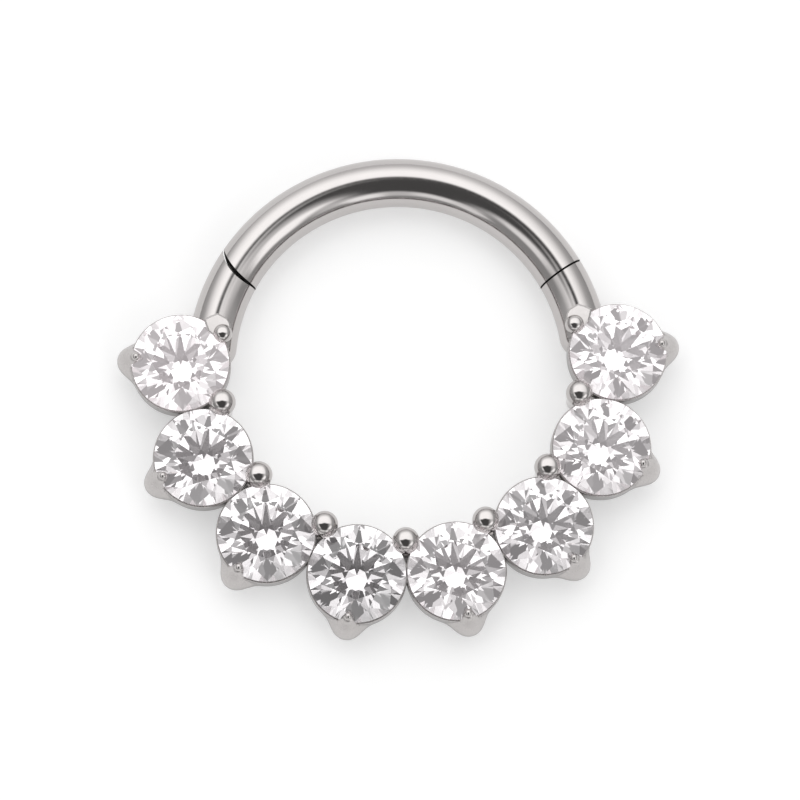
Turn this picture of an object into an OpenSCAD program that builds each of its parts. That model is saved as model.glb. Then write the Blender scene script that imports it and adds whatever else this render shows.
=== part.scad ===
// A hinged piercing hoop that lies on its back: a plain round-wire arc closes onto a curved
// row of eight round brilliant-cut stones held by shared bead prongs and outer claws.
// Millimetres. The hoop's centre is at X = Y = 0, its back rests on Z = 0, the stones face +Z.

/* [Hoop] */
// Clear width across the hoop
hoop_inner_d = 8; // [7.6:0.1:8.6]
// Thickness of the round wire
wire_d = 1.2; // [1.1:0.05:1.3]
// Where the closing seam crosses the wire, degrees from the right, counted anticlockwise
closure_angle = 28; // [24:1:34]
// Lean of the closing seam from a straight cut, degrees
closure_slant = 4.8; // [0:0.2:10]
// Where the hinge seam crosses the wire, degrees from the right, counted anticlockwise
hinge_angle = 147.8; // [143:0.2:152]
// Lean of the hinge seam from a straight cut, degrees
hinge_slant = 19.4; // [10:0.2:25]
// Width of the closing seam
seam_gap = 0.04; // [0.03:0.01:0.08]

/* [Stones] */
// Width of each stone at its girdle
stone_d = 2.36; // [2.2:0.02:2.38]
// Angle between neighbouring stones, seen from the hoop's centre
stone_step = 25.95; // [25.8:0.05:27]
// How far the stones' centres lie outside the middle of the wire
stone_out = 0.74; // [0.7:0.02:0.9]
// Height of the stones' girdles above the back
girdle_z = 1.12; // [1.08:0.02:1.4]
// Share of the stone's width that its flat table takes
table_share = 0.53; // [0.5:0.01:0.65]
// Slope of the crown's main facets, degrees
crown_slope = 34; // [28:0.5:38]
// Slope of the pavilion's main facets, degrees
pavilion_slope = 41.2; // [39:0.1:42]

/* [Setting] */
// Room left between a stone and the metal
seat_gap = 0.02; // [0.015:0.005:0.04]
// Outer radius of the collar under a stone, past the stone's own radius
collar_proud = 0.04; // [0.03:0.01:0.08]
// Radius of the round prong beads
bead_r = 0.33; // [0.28:0.01:0.36]
// How far the beads' centres lie inside the middle of the wire
bead_in = 0.16; // [0.1:0.01:0.2]
// How far the beads' centres lie above the girdles
bead_up = 0.18; // [0.12:0.01:0.3]
// Height of the beads' flattened tops above their centres
bead_h = 0.22; // [0.18:0.01:0.3]
// Radius of the smaller beads on the two wire ends
end_bead_r = 0.28; // [0.24:0.01:0.32]
// Widest radius of an outer claw
claw_r = 0.36; // [0.28:0.01:0.4]
// Distance of a claw's widest part from its stone's axis
claw_out = 1.2; // [1.15:0.01:1.4]
// How far the two end claws turn towards the hinge and the closure, degrees
end_claw_turn = 7; // [0:1:12]

/* [Hinge] */
// Radius of the hinge pin
pin_r = 0.13; // [0.1:0.01:0.15]
// Thickness of the tongue between the two cheeks
tongue_t = 0.28; // [0.24:0.02:0.4]
// Room on each side of the tongue
tongue_gap = 0.02; // [0.02:0.005:0.04]

/* [Closure] */
// Radius of the closing post
post_r = 0.16; // [0.12:0.01:0.18]
// Length of the closing post
post_length = 0.5; // [0.3:0.05:0.6]
// Room around the closing post
post_gap = 0.035; // [0.025:0.005:0.05]

/* [Hidden] */
$fn = 64;
// A cutting tool runs this far past what it cuts
past = 1;
// Side of the blocks that cut the wire off at a seam
cut = 4;
// The wire is drawn this many degrees past a seam and then cut there
wire_run = 8;
moving_wire_run = 12;
// Sizes that follow from the ones above
wire_r = wire_d / 2;
hoop_r = hoop_inner_d / 2 + wire_r;
mid_z = wire_r;
stone_r = stone_d / 2;
stone_ring = hoop_r + stone_out;
// The row of stones is centred on the lowest point of the hoop
row_middle = 270;
// A round brilliant is eightfold
facet_step = 360 / 8;
half_step = facet_step / 2;
// The stone's girdle is a band this tall
girdle_h = 0.025 * stone_d;
girdle_top = girdle_z + girdle_h / 2;
girdle_low = girdle_z - girdle_h / 2;
table_r = stone_r * table_share / cos(half_step);
crown_h = (stone_r - table_r) * tan(crown_slope);
pavilion_h = stone_r * tan(pavilion_slope);
table_z = girdle_top + crown_h;
culet_z = girdle_low - pavilion_h;
// The collar's top edge lies this far under the girdle, and its wall is upright down to wall_z
collar_top = girdle_low - 0.04;
wall_z = 0.55;
collar_r = stone_r + collar_proud;
collar_foot_r = 0.98;
// The opening under a stone, in the collar and a little wider in the rail and in the wire ends
bore_r = 0.6;
rail_bore_r = bore_r + 0.02;
wire_bore_r = bore_r + 0.04;
bore_top = 0.5;
// A gap of 1 across a pavilion facet measures this much straight down, and this much at the girdle
gap_drop = 1.4;
gap_girdle = 0.4;
// The seat under a stone is a cone seat_gap away from its pavilion. The prongs and wire ends are cut
// a little further off, so that no cut of theirs runs along the collar's own cone.
seat_low_z = culet_z - gap_drop * seat_gap;
seat_slope = (stone_r + seat_gap) / (girdle_low - gap_girdle * seat_gap - seat_low_z);
prong_seat_gap = seat_gap + 0.015;
// The back rail: a flat band that joins the collars
rail_in = hoop_r - 0.2;
rail_out = hoop_r + 0.75;
rail_h = 0.45;
rail_chamfer = 0.12;
rail_ends = 7;
// A web fills the notch between two collars, from the bead's shaft outwards
web_t = 0.24;
web_out = 0.65;
web_low = 0.14;
web_top = 0.9;
// The wire ends taper off under the first and the last stone
stub_left_end = 173.5;
stub_right_end = 7.4;
stub_tip_r = wire_r - 0.02;
bead_ring = hoop_r - bead_in;
bead_z = girdle_z + bead_up;
// The flattened tops are caps of this radius
bead_cap_r = 0.8;
shaft_r = 0.24;
shaft_low = 0.12;
// The beads on the wire ends, by angle and distance from the hoop's centre
end_bead_left = 170;
end_bead_right = 10.2;
end_bead_ring = hoop_r - 0.24;
end_bead_z = girdle_z + 0.13;
end_bead_h = 0.2;
// Each is drawn out along the wire as a cone, which starts inside the bead and ends in the wire
end_cone_start = 0.1;
end_cone_end = 0.46;
end_cone_sink = 0.16;
end_cone_out = 0.02;
end_cone_r = end_bead_r - 0.1;
end_cone_tip_r = 0.07;
claw_mid_z = 0.6;
claw_tip_out = 1.1;
claw_tip_z = girdle_z + 0.18;
claw_tip_r = 0.15;
claw_foot_out = 0.94;
claw_foot_z = 0.16;
claw_foot_r = 0.15;
// The claw's cones are this much thinner than the balls that they join
claw_skin = 0.01;
// Middles of the two seams, a little inside the middle of the wire
hinge_ring = hoop_r - 0.015;
closure_ring = hoop_r - 0.028;
hinge_x = hinge_ring * cos(hinge_angle);
hinge_y = hinge_ring * sin(hinge_angle);
closure_x = closure_ring * cos(closure_angle);
closure_y = closure_ring * sin(closure_angle);
// In the seam's own frame X runs inwards and Y towards the moving arc
seam_turn = hinge_angle - hinge_slant + 180;
// The hinge pin's place, and the round ends of the two wires: radius and where its centre lies
pin_up = 0.9;
fixed_end_r = 1.029;
fixed_end_y = 0.829;
moving_end_r = 1.423;
moving_end_y = 1.323;
// Where the moving arc's flat cut starts, beside its round end
moving_end_start = 0.05;
pin_x = hinge_x - pin_up * sin(seam_turn);
pin_y = hinge_y + pin_up * cos(seam_turn);
pin_low = 0.08;
pin_high = 1;
pin_fit = 0.02;
tongue_r = 0.3;
tongue_w = 0.5;
// The tongue is rooted this deep in the fixed wire, and the slot ends this far past its tip
tongue_root = 0.5;
slot_end_gap = 0.04;
// The closing post is a short arc about the hinge pin, so that it leaves its socket cleanly
post_outwards = 0.1;
post_x = closure_x - pin_x;
post_y = closure_y - pin_y;
post_ring = sqrt(post_x * post_x + post_y * post_y) + post_outwards;
post_start = atan2(post_y, post_x);
post_arc = post_length / post_ring * 180 / PI;
// Degrees of the post inside the moving arc, and of spare depth in its socket
post_root = 3;
socket_spare = 0.4;
// The root is cut off this far inside the moving arc
post_bury = 0.2;

// A round bar or cone from one point to another
module bar(a, b, r1, r2) {
    d = b - a;
    len = norm(d);
    translate(a)
        rotate([0, acos(d[2] / len), atan2(d[1], d[0])])
            cylinder(h = len, r1 = r1, r2 = r2);
}

// A piece of the hoop's round wire between two angles
module wire(a0, a1) {
    translate([0, 0, mid_z])
        rotate([0, 0, a0])
            rotate_extrude(angle = a1 - a0)
                translate([hoop_r, 0])
                    circle(r = wire_r);
}

// Things drawn in the hinge seam's frame
module at_hinge() {
    translate([hinge_x, hinge_y, 0])
        rotate([0, 0, seam_turn])
            children();
}

// Things drawn in the closing seam's frame: X outwards, Y towards the moving arc
module at_closure() {
    translate([closure_x, closure_y, 0])
        rotate([0, 0, closure_angle + closure_slant])
            children();
}

// The closing post, or with more radius and length its socket
module post(extra_r, extra_deg) {
    translate([pin_x, pin_y, mid_z])
        rotate([0, 0, post_start - post_arc - extra_deg])
            rotate_extrude(angle = post_arc + extra_deg + post_root)
                translate([post_ring, 0])
                    circle(r = post_r + extra_r);
}

// Angle of stone i, counted from 1 at the left
function stone_angle(i) = row_middle + (i - 4.5) * stone_step;

// Things drawn on stone i's axis, with X pointing away from the hoop's centre
module at_stone(i) {
    rotate([0, 0, stone_angle(i)])
        translate([stone_ring, 0, 0])
            children();
}

// The room cut out of the metal for a stone, g away from it
module seat(g) {
    rotate_extrude()
        polygon([
            [0, culet_z - g * gap_drop],
            [stone_r + g, girdle_low - g * gap_girdle],
            [stone_r + g, girdle_top + g * gap_girdle],
            [table_r + g, table_z + g],
            [table_r + g, table_z + past],
            [0, table_z + past]
        ]);
}

// The collar under a stone
module collar() {
    rotate_extrude()
        polygon([
            [bore_r, 0],
            [collar_foot_r, 0],
            [collar_r, wall_z],
            [collar_r, collar_top],
            [(collar_top - seat_low_z) * seat_slope, collar_top],
            [bore_r, seat_low_z + bore_r / seat_slope]
        ]);
}

// One outer claw: thick in the middle, leaning in over the stone, running down into the collar
module claw() {
    difference() {
        union() {
            bar([claw_out, 0, claw_mid_z], [claw_tip_out, 0, claw_tip_z],
                claw_r - claw_skin, claw_tip_r - claw_skin);
            bar([claw_out, 0, claw_mid_z], [claw_foot_out, 0, claw_foot_z],
                claw_r - claw_skin, claw_foot_r);
            translate([claw_out, 0, claw_mid_z]) sphere(r = claw_r);
            translate([claw_tip_out, 0, claw_tip_z]) sphere(r = claw_tip_r);
        }
        seat(prong_seat_gap);
    }
}

// A bead with a flattened top, its centre at height z
module flat_bead(r, z, h) {
    intersection() {
        translate([0, 0, z]) sphere(r = r);
        translate([0, 0, z + h - bead_cap_r]) sphere(r = bead_cap_r);
    }
}

// Bead prong k with its shaft and web, between stones k and k + 1 on the inside of the curve
module bead_prong(k) {
    difference() {
        rotate([0, 0, stone_angle(k + 0.5)])
            translate([bead_ring, 0, 0]) {
                flat_bead(bead_r, bead_z, bead_h);
                translate([0, 0, shaft_low]) cylinder(h = bead_z - shaft_low, r = shaft_r);
            }
        at_stone(k) seat(prong_seat_gap);
        at_stone(k + 1) seat(prong_seat_gap);
    }
    rotate([0, 0, stone_angle(k + 0.5)])
        translate([bead_ring, -web_t / 2, web_low]) cube([web_out, web_t, web_top - web_low]);
}

// The bead on a wire end, beside stone i, drawn out to a point along the wire
module end_bead(i, angle, side) {
    difference() {
        rotate([0, 0, angle])
            translate([end_bead_ring, 0, 0]) flat_bead(end_bead_r, end_bead_z, end_bead_h);
        at_stone(i) seat(prong_seat_gap);
    }
    rotate([0, 0, angle])
        bar([end_bead_ring, side * end_cone_start, end_bead_z - end_cone_sink],
            [end_bead_ring + end_cone_out, side * end_cone_end, mid_z + end_cone_end],
            end_cone_r, end_cone_tip_r);
}

// The room for a stone and for the light under it, cut out of a wire end
module seat_and_bore() {
    seat(prong_seat_gap);
    translate([0, 0, -past]) cylinder(h = past + bore_top, r = wire_bore_r);
}

// The fixed wire end at the hinge, hollowed for the moving arc's round end
module stub_left() {
    difference() {
        union() {
            wire(hinge_angle - wire_run, stub_left_end);
            rotate([0, 0, stub_left_end]) translate([hoop_r, 0, mid_z]) sphere(r = stub_tip_r);
        }
        at_hinge()
            translate([0, fixed_end_y, -past]) cylinder(h = wire_d + 2 * past, r = fixed_end_r);
        at_stone(1) seat_and_bore();
    }
}

// The fixed wire end at the closure, with the socket for the closing post
module stub_right() {
    difference() {
        union() {
            wire(stub_right_end, closure_angle + wire_run);
            rotate([0, 0, stub_right_end]) translate([hoop_r, 0, mid_z]) sphere(r = stub_tip_r);
        }
        at_closure()
            translate([-cut / 2, -seam_gap / 2, -past]) cube([cut, cut, wire_d + 2 * past]);
        at_stone(8) seat_and_bore();
        post(post_gap, socket_spare);
    }
}

// The hinge tongue: a plate that reaches from the fixed wire end to the pin
module tongue() {
    at_hinge()
        translate([0, 0, mid_z - tongue_t / 2])
            difference() {
                union() {
                    translate([0, pin_up, 0]) cylinder(h = tongue_t, r = tongue_r);
                    translate([-tongue_w / 2, -tongue_root, 0])
                        cube([tongue_w, pin_up + tongue_root, tongue_t]);
                }
                translate([0, pin_up, -past]) cylinder(h = tongue_t + 2 * past, r = pin_r + pin_fit);
            }
}

// The flat back rail
module rail() {
    a0 = stone_angle(1) + rail_ends;
    difference() {
        rotate([0, 0, a0])
            rotate_extrude(angle = stone_angle(8) - rail_ends - a0)
                polygon([
                    [rail_in, rail_chamfer],
                    [rail_in + rail_chamfer, 0],
                    [rail_out, 0],
                    [rail_out, rail_h],
                    [rail_in, rail_h]
                ]);
        for (i = [1 : 8])
            at_stone(i) translate([0, 0, -past]) cylinder(h = past + bore_top, r = rail_bore_r);
    }
}

module gallery() {
    color("silver") {
        stub_left();
        stub_right();
        end_bead(1, end_bead_left, -1);
        end_bead(8, end_bead_right, 1);
        tongue();
        rail();
        for (i = [1 : 8]) {
            at_stone(i) {
                collar();
                rotate([0, 0, i == 1 ? -end_claw_turn : i == 8 ? end_claw_turn : 0]) claw();
            }
        }
        for (k = [1 : 7]) bead_prong(k);
    }
}

module hoop_segment() {
    color("silver") {
        difference() {
            wire(closure_angle - wire_run, hinge_angle + moving_wire_run);
            at_closure()
                translate([-cut / 2, -cut, -past]) cube([cut, cut + seam_gap / 2, wire_d + 2 * past]);
            at_hinge() {
                difference() {
                    translate([-cut / 2, -cut, -past])
                        cube([cut, cut + moving_end_start, wire_d + 2 * past]);
                    translate([0, moving_end_y, -2 * past])
                        cylinder(h = wire_d + 4 * past, r = moving_end_r);
                }
                translate([-cut / 2, -cut, mid_z - tongue_t / 2 - tongue_gap])
                    cube([cut, cut + pin_up + tongue_r + slot_end_gap, tongue_t + 2 * tongue_gap]);
            }
            translate([pin_x, pin_y, -past]) cylinder(h = past + pin_high + pin_fit, r = pin_r + pin_fit);
        }
        intersection() {
            post(0, 0);
            at_closure()
                translate([-cut / 2, -cut, -past]) cube([cut, cut + post_bury, wire_d + 2 * past]);
        }
    }
}

module hinge_pin() {
    color("gray")
        translate([pin_x, pin_y, pin_low]) cylinder(h = pin_high - pin_low, r = pin_r);
}

// The facets of a round brilliant: a table, stars, kites, halves and mains.
// The stars reach half-way from the table to the girdle, the lower halves most of the way down.
star_share = 0.5;
half_share = 0.25;
star_r = table_r * cos(half_step) + star_share * (stone_r - table_r * cos(half_step));
star_z = table_z - crown_h * (star_r * cos(half_step) - table_r) / (stone_r - table_r);
half_r = half_share * stone_r;
half_z = culet_z + pavilion_h * half_r * cos(half_step) / stone_r;

// A point at a given radius, angle and height
function pol(r, a, z) = [r * cos(a), r * sin(a), z];

gem_points = concat(
    [for (k = [0 : 7]) pol(table_r, facet_step * k, table_z)],
    [for (k = [0 : 7]) pol(star_r, facet_step * k + half_step, star_z)],
    [for (k = [0 : 15]) pol(stone_r, half_step * k, girdle_top)],
    [for (k = [0 : 15]) pol(stone_r, half_step * k, girdle_low)],
    [for (k = [0 : 7]) pol(half_r, facet_step * k + half_step, half_z)],
    [[0, 0, culet_z]]
);

gem_faces = concat(
    [[for (k = [7 : -1 : 0]) k]],
    [for (k = [0 : 7]) [k, (k + 1) % 8, 8 + k]],
    [for (k = [0 : 7]) [k, 8 + k, 16 + 2 * k, 8 + (k + 7) % 8]],
    [for (k = [0 : 7]) [8 + k, 16 + 2 * k + 1, 16 + 2 * k]],
    [for (k = [0 : 7]) [8 + k, 16 + (2 * k + 2) % 16, 16 + 2 * k + 1]],
    [for (k = [0 : 15]) [16 + k, 16 + (k + 1) % 16, 32 + (k + 1) % 16, 32 + k]],
    [for (k = [0 : 7]) [48 + k, 32 + 2 * k, 32 + 2 * k + 1]],
    [for (k = [0 : 7]) [48 + k, 32 + 2 * k + 1, 32 + (2 * k + 2) % 16]],
    [for (k = [0 : 7]) [56, 48 + (k + 7) % 8, 32 + 2 * k, 48 + k]]
);

// Each stone is turned a little differently about its own axis, as hand-set stones are
module gem(i, turn) {
    color("white", 0.6)
        at_stone(i)
            rotate([0, 0, turn])
                polyhedron(points = gem_points, faces = gem_faces);
}

module stone_1() { gem(1, 3); }
module stone_2() { gem(2, 11); }
module stone_3() { gem(3, -6); }
module stone_4() { gem(4, 8); }
module stone_5() { gem(5, -10); }
module stone_6() { gem(6, 5); }
module stone_7() { gem(7, 14); }
module stone_8() { gem(8, -4); }

// Which node to draw

gallery();
hoop_segment();
hinge_pin();
stone_1();
stone_2();
stone_3();
stone_4();
stone_5();
stone_6();
stone_7();
stone_8();
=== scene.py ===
# A hinged piercing hoop with a curved row of eight round brilliants, lying on its back on a pale floor.
# Shapes are worked out in millimetres in the part's own frame and go into Blender in metres.
import math
import bpy
import bmesh
import numpy as np
from mathutils import Matrix, Vector


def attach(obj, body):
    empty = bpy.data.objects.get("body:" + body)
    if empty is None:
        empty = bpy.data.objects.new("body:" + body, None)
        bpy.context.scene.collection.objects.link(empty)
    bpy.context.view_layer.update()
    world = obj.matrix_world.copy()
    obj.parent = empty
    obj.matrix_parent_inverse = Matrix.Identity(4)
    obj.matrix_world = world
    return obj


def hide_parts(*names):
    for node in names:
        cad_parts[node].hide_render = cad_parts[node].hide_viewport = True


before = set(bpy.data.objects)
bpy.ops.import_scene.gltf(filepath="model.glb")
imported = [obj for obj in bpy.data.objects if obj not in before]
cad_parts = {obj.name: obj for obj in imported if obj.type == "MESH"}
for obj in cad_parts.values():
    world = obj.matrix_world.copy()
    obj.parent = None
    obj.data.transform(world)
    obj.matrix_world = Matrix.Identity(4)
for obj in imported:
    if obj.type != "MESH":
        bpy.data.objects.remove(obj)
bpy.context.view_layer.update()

MM = 0.001
scene = bpy.context.scene

# Sizes in millimetres. The main ones are the same as the part's

# the ring that the wire follows, the wire's radius and the height of its middle
HOOP_R = 4.6
WIRE_R = 0.6
MID_Z = 0.6

# the closing seam: its place, the line that it runs along, the ring that its middle lies on, its gap
CLOSURE = math.radians(28.0)
CLOSURE_AXIS = math.radians(28.0 + 4.8)
CLOSURE_RING = 4.572
SEAM_GAP = 0.04

# the hinge seam: its place, its ring and the direction of its X axis
HINGE = math.radians(147.8)
HINGE_RING = 4.585
SEAM_TURN = math.radians(147.8 - 19.4 + 180.0)
# the round ends there: how far up the seam's Y axis each one's centre lies, and its radius
FIXED_END = (0.829, 1.029)
MOVING_END = (1.323, 1.423)

# the pin, up the seam's Y axis, with the tongue that it goes through and the room around both
PIN_UP = 0.9
PIN_R = 0.13
PIN_LOW = 0.08
PIN_HIGH = 1.0
TONGUE_T = 0.28
TONGUE_R = 0.3
TONGUE_W = 0.5
SLOT_ROOM = 0.02
ARC_PIN_ROOM = 0.012
TONGUE_PIN_ROOM = 0.02
# the bevel on the pin and on the tongue
PIN_BEVEL = 0.02
TONGUE_BEVEL = 0.015

# the closing post, how far out past the seam's middle its circle about the pin runs, how far it reaches back
# into the arc, and the room around it in its socket
POST_R = 0.16
POST_LENGTH = 0.5
POST_OUT = 0.1
POST_ROOT = math.radians(3)
POST_SIDES = 32
SOCKET_ROOM = 0.03

# the stones: radius, the ring that they stand on, and the step from one to the next in degrees
STONE_R = 1.18
STONE_RING = 5.34
STEP = 25.95
# their cut: the table's and the lower facets' share of the radius, and the slopes above and below the girdle
TABLE_SHARE = 0.53
LOWER_SHARE = 0.25
CROWN_SLOPE = math.radians(34.0)
PAVILION_SLOPE = math.radians(41.2)
GIRDLE_Z = 1.12
GIRDLE_H = 0.059
GIRDLE_TOP = GIRDLE_Z + GIRDLE_H / 2
GIRDLE_LOW = GIRDLE_Z - GIRDLE_H / 2
FACET_HALF = math.radians(22.5)
TABLE_R = STONE_R * TABLE_SHARE / math.cos(FACET_HALF)
LOWER_R = STONE_R * LOWER_SHARE
CROWN_H = (STONE_R - TABLE_R) * math.tan(CROWN_SLOPE)
PAVILION_H = STONE_R * math.tan(PAVILION_SLOPE)
TABLE_Z = GIRDLE_TOP + CROWN_H
CULET_Z = GIRDLE_LOW - PAVILION_H
# how each stone is turned in its seat, in degrees
TURNS = (3, 11, -6, 8, -10, 5, 14, -4)
# room between a stone and the prongs, and between a stone and the wire's ends
PRONG_ROOM = 0.006
WIRE_ROOM = 0.03

# the collars under the stones: wall, top, foot, bore, and the height at which the foot has reached the wall
COLLAR_R = 1.22
COLLAR_TOP = GIRDLE_LOW - 0.04
COLLAR_FOOT_R = 0.98
BORE_R = 0.6
WALL_Z = 0.55
# points round a cup, the rounding of its foot, and the rounding of its rim with the height that it takes
CUP_N = 160
FOOT_ROUND = 0.015
RIM_ROUND = 0.012
RIM_H = 0.02
# heights of the rows of points on a cup's outside
CUP_HEIGHTS = [0.0, FOOT_ROUND, 0.05, *np.linspace(0.1, COLLAR_TOP - RIM_H, 22),
               COLLAR_TOP - 0.006, COLLAR_TOP]
# room between a stone's lower part and the open cone that it sits in: below its point, round it and under
# its girdle
CONE_POINT_ROOM = 0.028
CONE_ROOM = 0.02
CONE_GIRDLE_ROOM = 0.008
# rows of faces from the rim inwards and down that get the seat's painted light, a lighter steel that glows
SEAT_ROWS = 4
# the fillet between collar and claw: its width low down and at the rim, and up to which height it stays wide
FILLET_LOW = 0.3
FILLET_TOP = 0.003
FILLET_Z = 0.6
# half the stretch of rim that a claw takes up, and how far past it the rim's rounding sets in, in radians
CLAW_HALF = 0.22
CLAW_FADE = 0.08

# the bead prongs: radius, the ring that they stand on, top and shaft
BEAD_R = 0.33
BEAD_RING = 4.44
BEAD_TOP = 1.51
SHAFT_R = 0.24
# the neck below a bead's widest line, as radius and height
BEAD_NECK = [(0, 0.12), (SHAFT_R, 0.12), (SHAFT_R, 0.9), (0.245, 0.95), (0.27, 1.0), (0.3, 1.06),
             (0.32, 1.12)]
# how steep a bead's top is, by distance from its middle: nearly flat, then quickly rounding over
BEAD_SLOPE_R = np.array([0.0, 0.142, 0.175, 0.206, 0.26, 0.3, 0.322, 0.33]) / BEAD_R
BEAD_SLOPE = np.radians([0.0, 12.0, 26.0, 38.0, 53.0, 66.0, 79.0, 88.0])
# a bead's cap: its lean to the far side, the fall of the part below its crease, where the crease lies
# and how soft it is, where lean and fall have gone, and how far they take to go, as shares of the radius
CAP_LEAN = 0.11
CAP_FALL = 0.06
CAP_CREASE = 0.08
CREASE_SOFT = 0.05
CAP_EDGE = 0.42
CAP_FADE = 0.2
# the end beads, a little slimmer than the part's: radius, the ring that they stand on, top and foot
END_BEAD_R = 0.235
END_BEAD_RING = 4.36
END_BEAD_TOP = 1.46
END_BEAD_FOOT = 0.9

# each end bead's name, its stone, its place round the hoop in degrees, and the way that its plate points
END_BEADS = (("left", 1, 170, -1), ("right", 8, 10.2, 1))
# two corners of the web that ties a bead's shaft to the rail, from the shaft's middle
WEB_LOW = (0, -0.12, 0.14)
WEB_HIGH = (0.65, 0.12, 0.9)

# the pointed plates beside the end beads: top, and fall along the wire
SHIELD_TOP = 1.31
SHIELD_FALL = 0.12
# their outline as distance from the hoop's centre past the bead's, and distance along the wire
SHIELD_OUTLINE = np.array([(-0.20, 0.02), (-0.19, 0.16), (-0.14, 0.29), (-0.06, 0.39), (0.07, 0.44),
                           (0.205, 0.49), (0.36, 0.40), (0.505, 0.29), (0.44, 0.14), (0.36, 0.0),
                           (0.2, -0.1), (0.0, -0.14), (-0.14, -0.08)])
SHIELD_MIDDLE = np.array([0.1, 0.15])

# where the fixed wire ends stop under the end stones, and the radius of the ball that each ends in
LEFT_STUB_END = math.radians(173.5)
RIGHT_STUB_END = math.radians(7.4)
STUB_BALL = 0.58

# the back rail: the step that it starts past the first stone's middle, and its section as radius and height
RAIL_INSET = math.radians(7)
RAIL_SECTION = [(4.4, 0.13), (4.42, 0.09), (4.49, 0.02), (4.53, 0.0), (5.33, 0.0), (5.35, 0.02),
                (5.35, 0.43), (5.33, 0.45), (4.43, 0.45), (4.4, 0.42)]
RAIL_STEPS = 220

# the meshes of the wires: points round them, bevel at their ends, rings of points on their end faces
WIRE_SIDES = 96
END_BEVEL = 0.008
END_RINGS = (0.12, 0.3, 0.45, 0.55)

# faces at the seams are cut faces, which get a near-black painted shade, when they lie this deep inside the
# wire's surface and this near a seam
CUT_DEPTH = 0.001
CUT_REACH = 0.62
# a corner lies on a known surface when it is this near it and its face looks the same way, as a cosine
ON_SURFACE = 0.004
SAME_WAY = 0.93


def polar(r, a):
    return np.array([r * math.cos(a), r * math.sin(a)])


def around(n):
    """n equal angles round a circle."""
    return np.arange(n) * 2 * math.pi / n


def stone_angle(i):
    return math.radians(270 + (i - 4.5) * STEP)


CLOSURE_MID = polar(CLOSURE_RING, CLOSURE)
HINGE_MID = polar(HINGE_RING, HINGE)
HINGE_X = polar(1, SEAM_TURN)
HINGE_Y = polar(1, SEAM_TURN + math.pi / 2)
PIN = HINGE_MID + PIN_UP * HINGE_Y


# Places

def at_angle(a, r):
    return Matrix.Rotation(a, 4, "Z") @ Matrix.Translation((r, 0, 0))


def at_stone(i, turn=0.0):
    return at_angle(stone_angle(i), STONE_RING) @ Matrix.Rotation(math.radians(turn), 4, "Z")


AT_SEAM = Matrix.Translation((*HINGE_MID, 0)) @ Matrix.Rotation(SEAM_TURN, 4, "Z")
AT_PIN = Matrix.Translation((*PIN, 0))


# Meshes

def new_object(name, verts, faces):
    """A mesh object in millimetres. finish_piece turns it into a piece in metres."""
    mesh = bpy.data.meshes.new(name)
    mesh.from_pydata([tuple(map(float, v)) for v in verts], [], [tuple(map(int, f)) for f in faces])
    mesh.validate()
    obj = bpy.data.objects.new(name, mesh)
    scene.collection.objects.link(obj)
    return obj


def outward(obj):
    """Turns every face of a closed solid outwards."""
    bm = bmesh.new()
    bm.from_mesh(obj.data)
    bmesh.ops.recalc_face_normals(bm, faces=bm.faces)
    if bm.calc_volume(signed=True) < 0:
        bmesh.ops.reverse_faces(bm, faces=bm.faces)
    bm.to_mesh(obj.data)
    bm.free()
    return obj


def place(obj, matrix):
    obj.data.transform(matrix)
    return obj


def skin(rows, n):
    """The faces between each row of n points and the next."""
    return [(j * n + k, j * n + (k + 1) % n, (j + 1) * n + (k + 1) % n, (j + 1) * n + k)
            for j in range(rows - 1) for k in range(n)]


def tube(name, rows):
    """A closed solid whose skin runs through rows of points, each row a ring of equally many."""
    n = len(rows[0])
    ends = [tuple(range(n)), tuple((len(rows) - 1) * n + k for k in range(n))]
    return outward(new_object(name, [p for row in rows for p in row], skin(len(rows), n) + ends))


def lathe(name, profile, n):
    """A solid of revolution about Z. profile is radii and heights, and starts and ends on the axis."""
    verts, faces, rings = [], [], []
    for r, z in profile:
        first = len(verts)
        verts += [(r * math.cos(a), r * math.sin(a), z) for a in around(n)] if r > 0 else [(0, 0, z)]
        rings.append(range(first, len(verts)))
    for low, high in zip(rings, rings[1:]):
        for k in range(n):
            m = (k + 1) % n
            if len(low) == 1:
                faces.append((low[0], high[m], high[k]))
            elif len(high) == 1:
                faces.append((low[k], low[m], high[0]))
            else:
                faces.append((low[k], low[m], high[m], high[k]))
    return outward(new_object(name, verts, faces))


def rod(name, r, low, high, n=48):
    return lathe(name, [(0, low), (r, low), (r, high), (0, high)], n)


def bevelled_rod(name, r, low, high, bevel, n):
    side = [(r - bevel, low), (r, low + bevel), (r, high - bevel), (r - bevel, high)]
    return lathe(name, [(0, low), *side, (0, high)], n)


def box(name, lo, hi):
    corners = [(lo[0], lo[1]), (hi[0], lo[1]), (hi[0], hi[1]), (lo[0], hi[1])]
    return tube(name, [[(x, y, z) for x, y in corners] for z in (lo[2], hi[2])])


def carve(obj, cutters, operation="DIFFERENCE"):
    """Cuts or joins solids and keeps the result as the object's own mesh."""
    for c in cutters:
        m = obj.modifiers.new("carve", "BOOLEAN")
        m.operation, m.solver, m.object = operation, "EXACT", c
    graph = bpy.context.evaluated_depsgraph_get()
    graph.update()
    mesh = bpy.data.meshes.new_from_object(obj.evaluated_get(graph))
    obj.modifiers.clear()
    old, obj.data = obj.data, mesh
    bpy.data.meshes.remove(old)
    for c in cutters:
        data = c.data
        bpy.data.objects.remove(c)
        bpy.data.meshes.remove(data)
    return obj


# Shading by the true surfaces

def mesh_values(items, name, width=1, kind=float):
    """One property of every item of a mesh, as an array."""
    values = np.empty(len(items) * width, dtype=kind)
    items.foreach_get(name, values)
    return values.reshape(-1, width) if width > 1 else values


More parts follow.
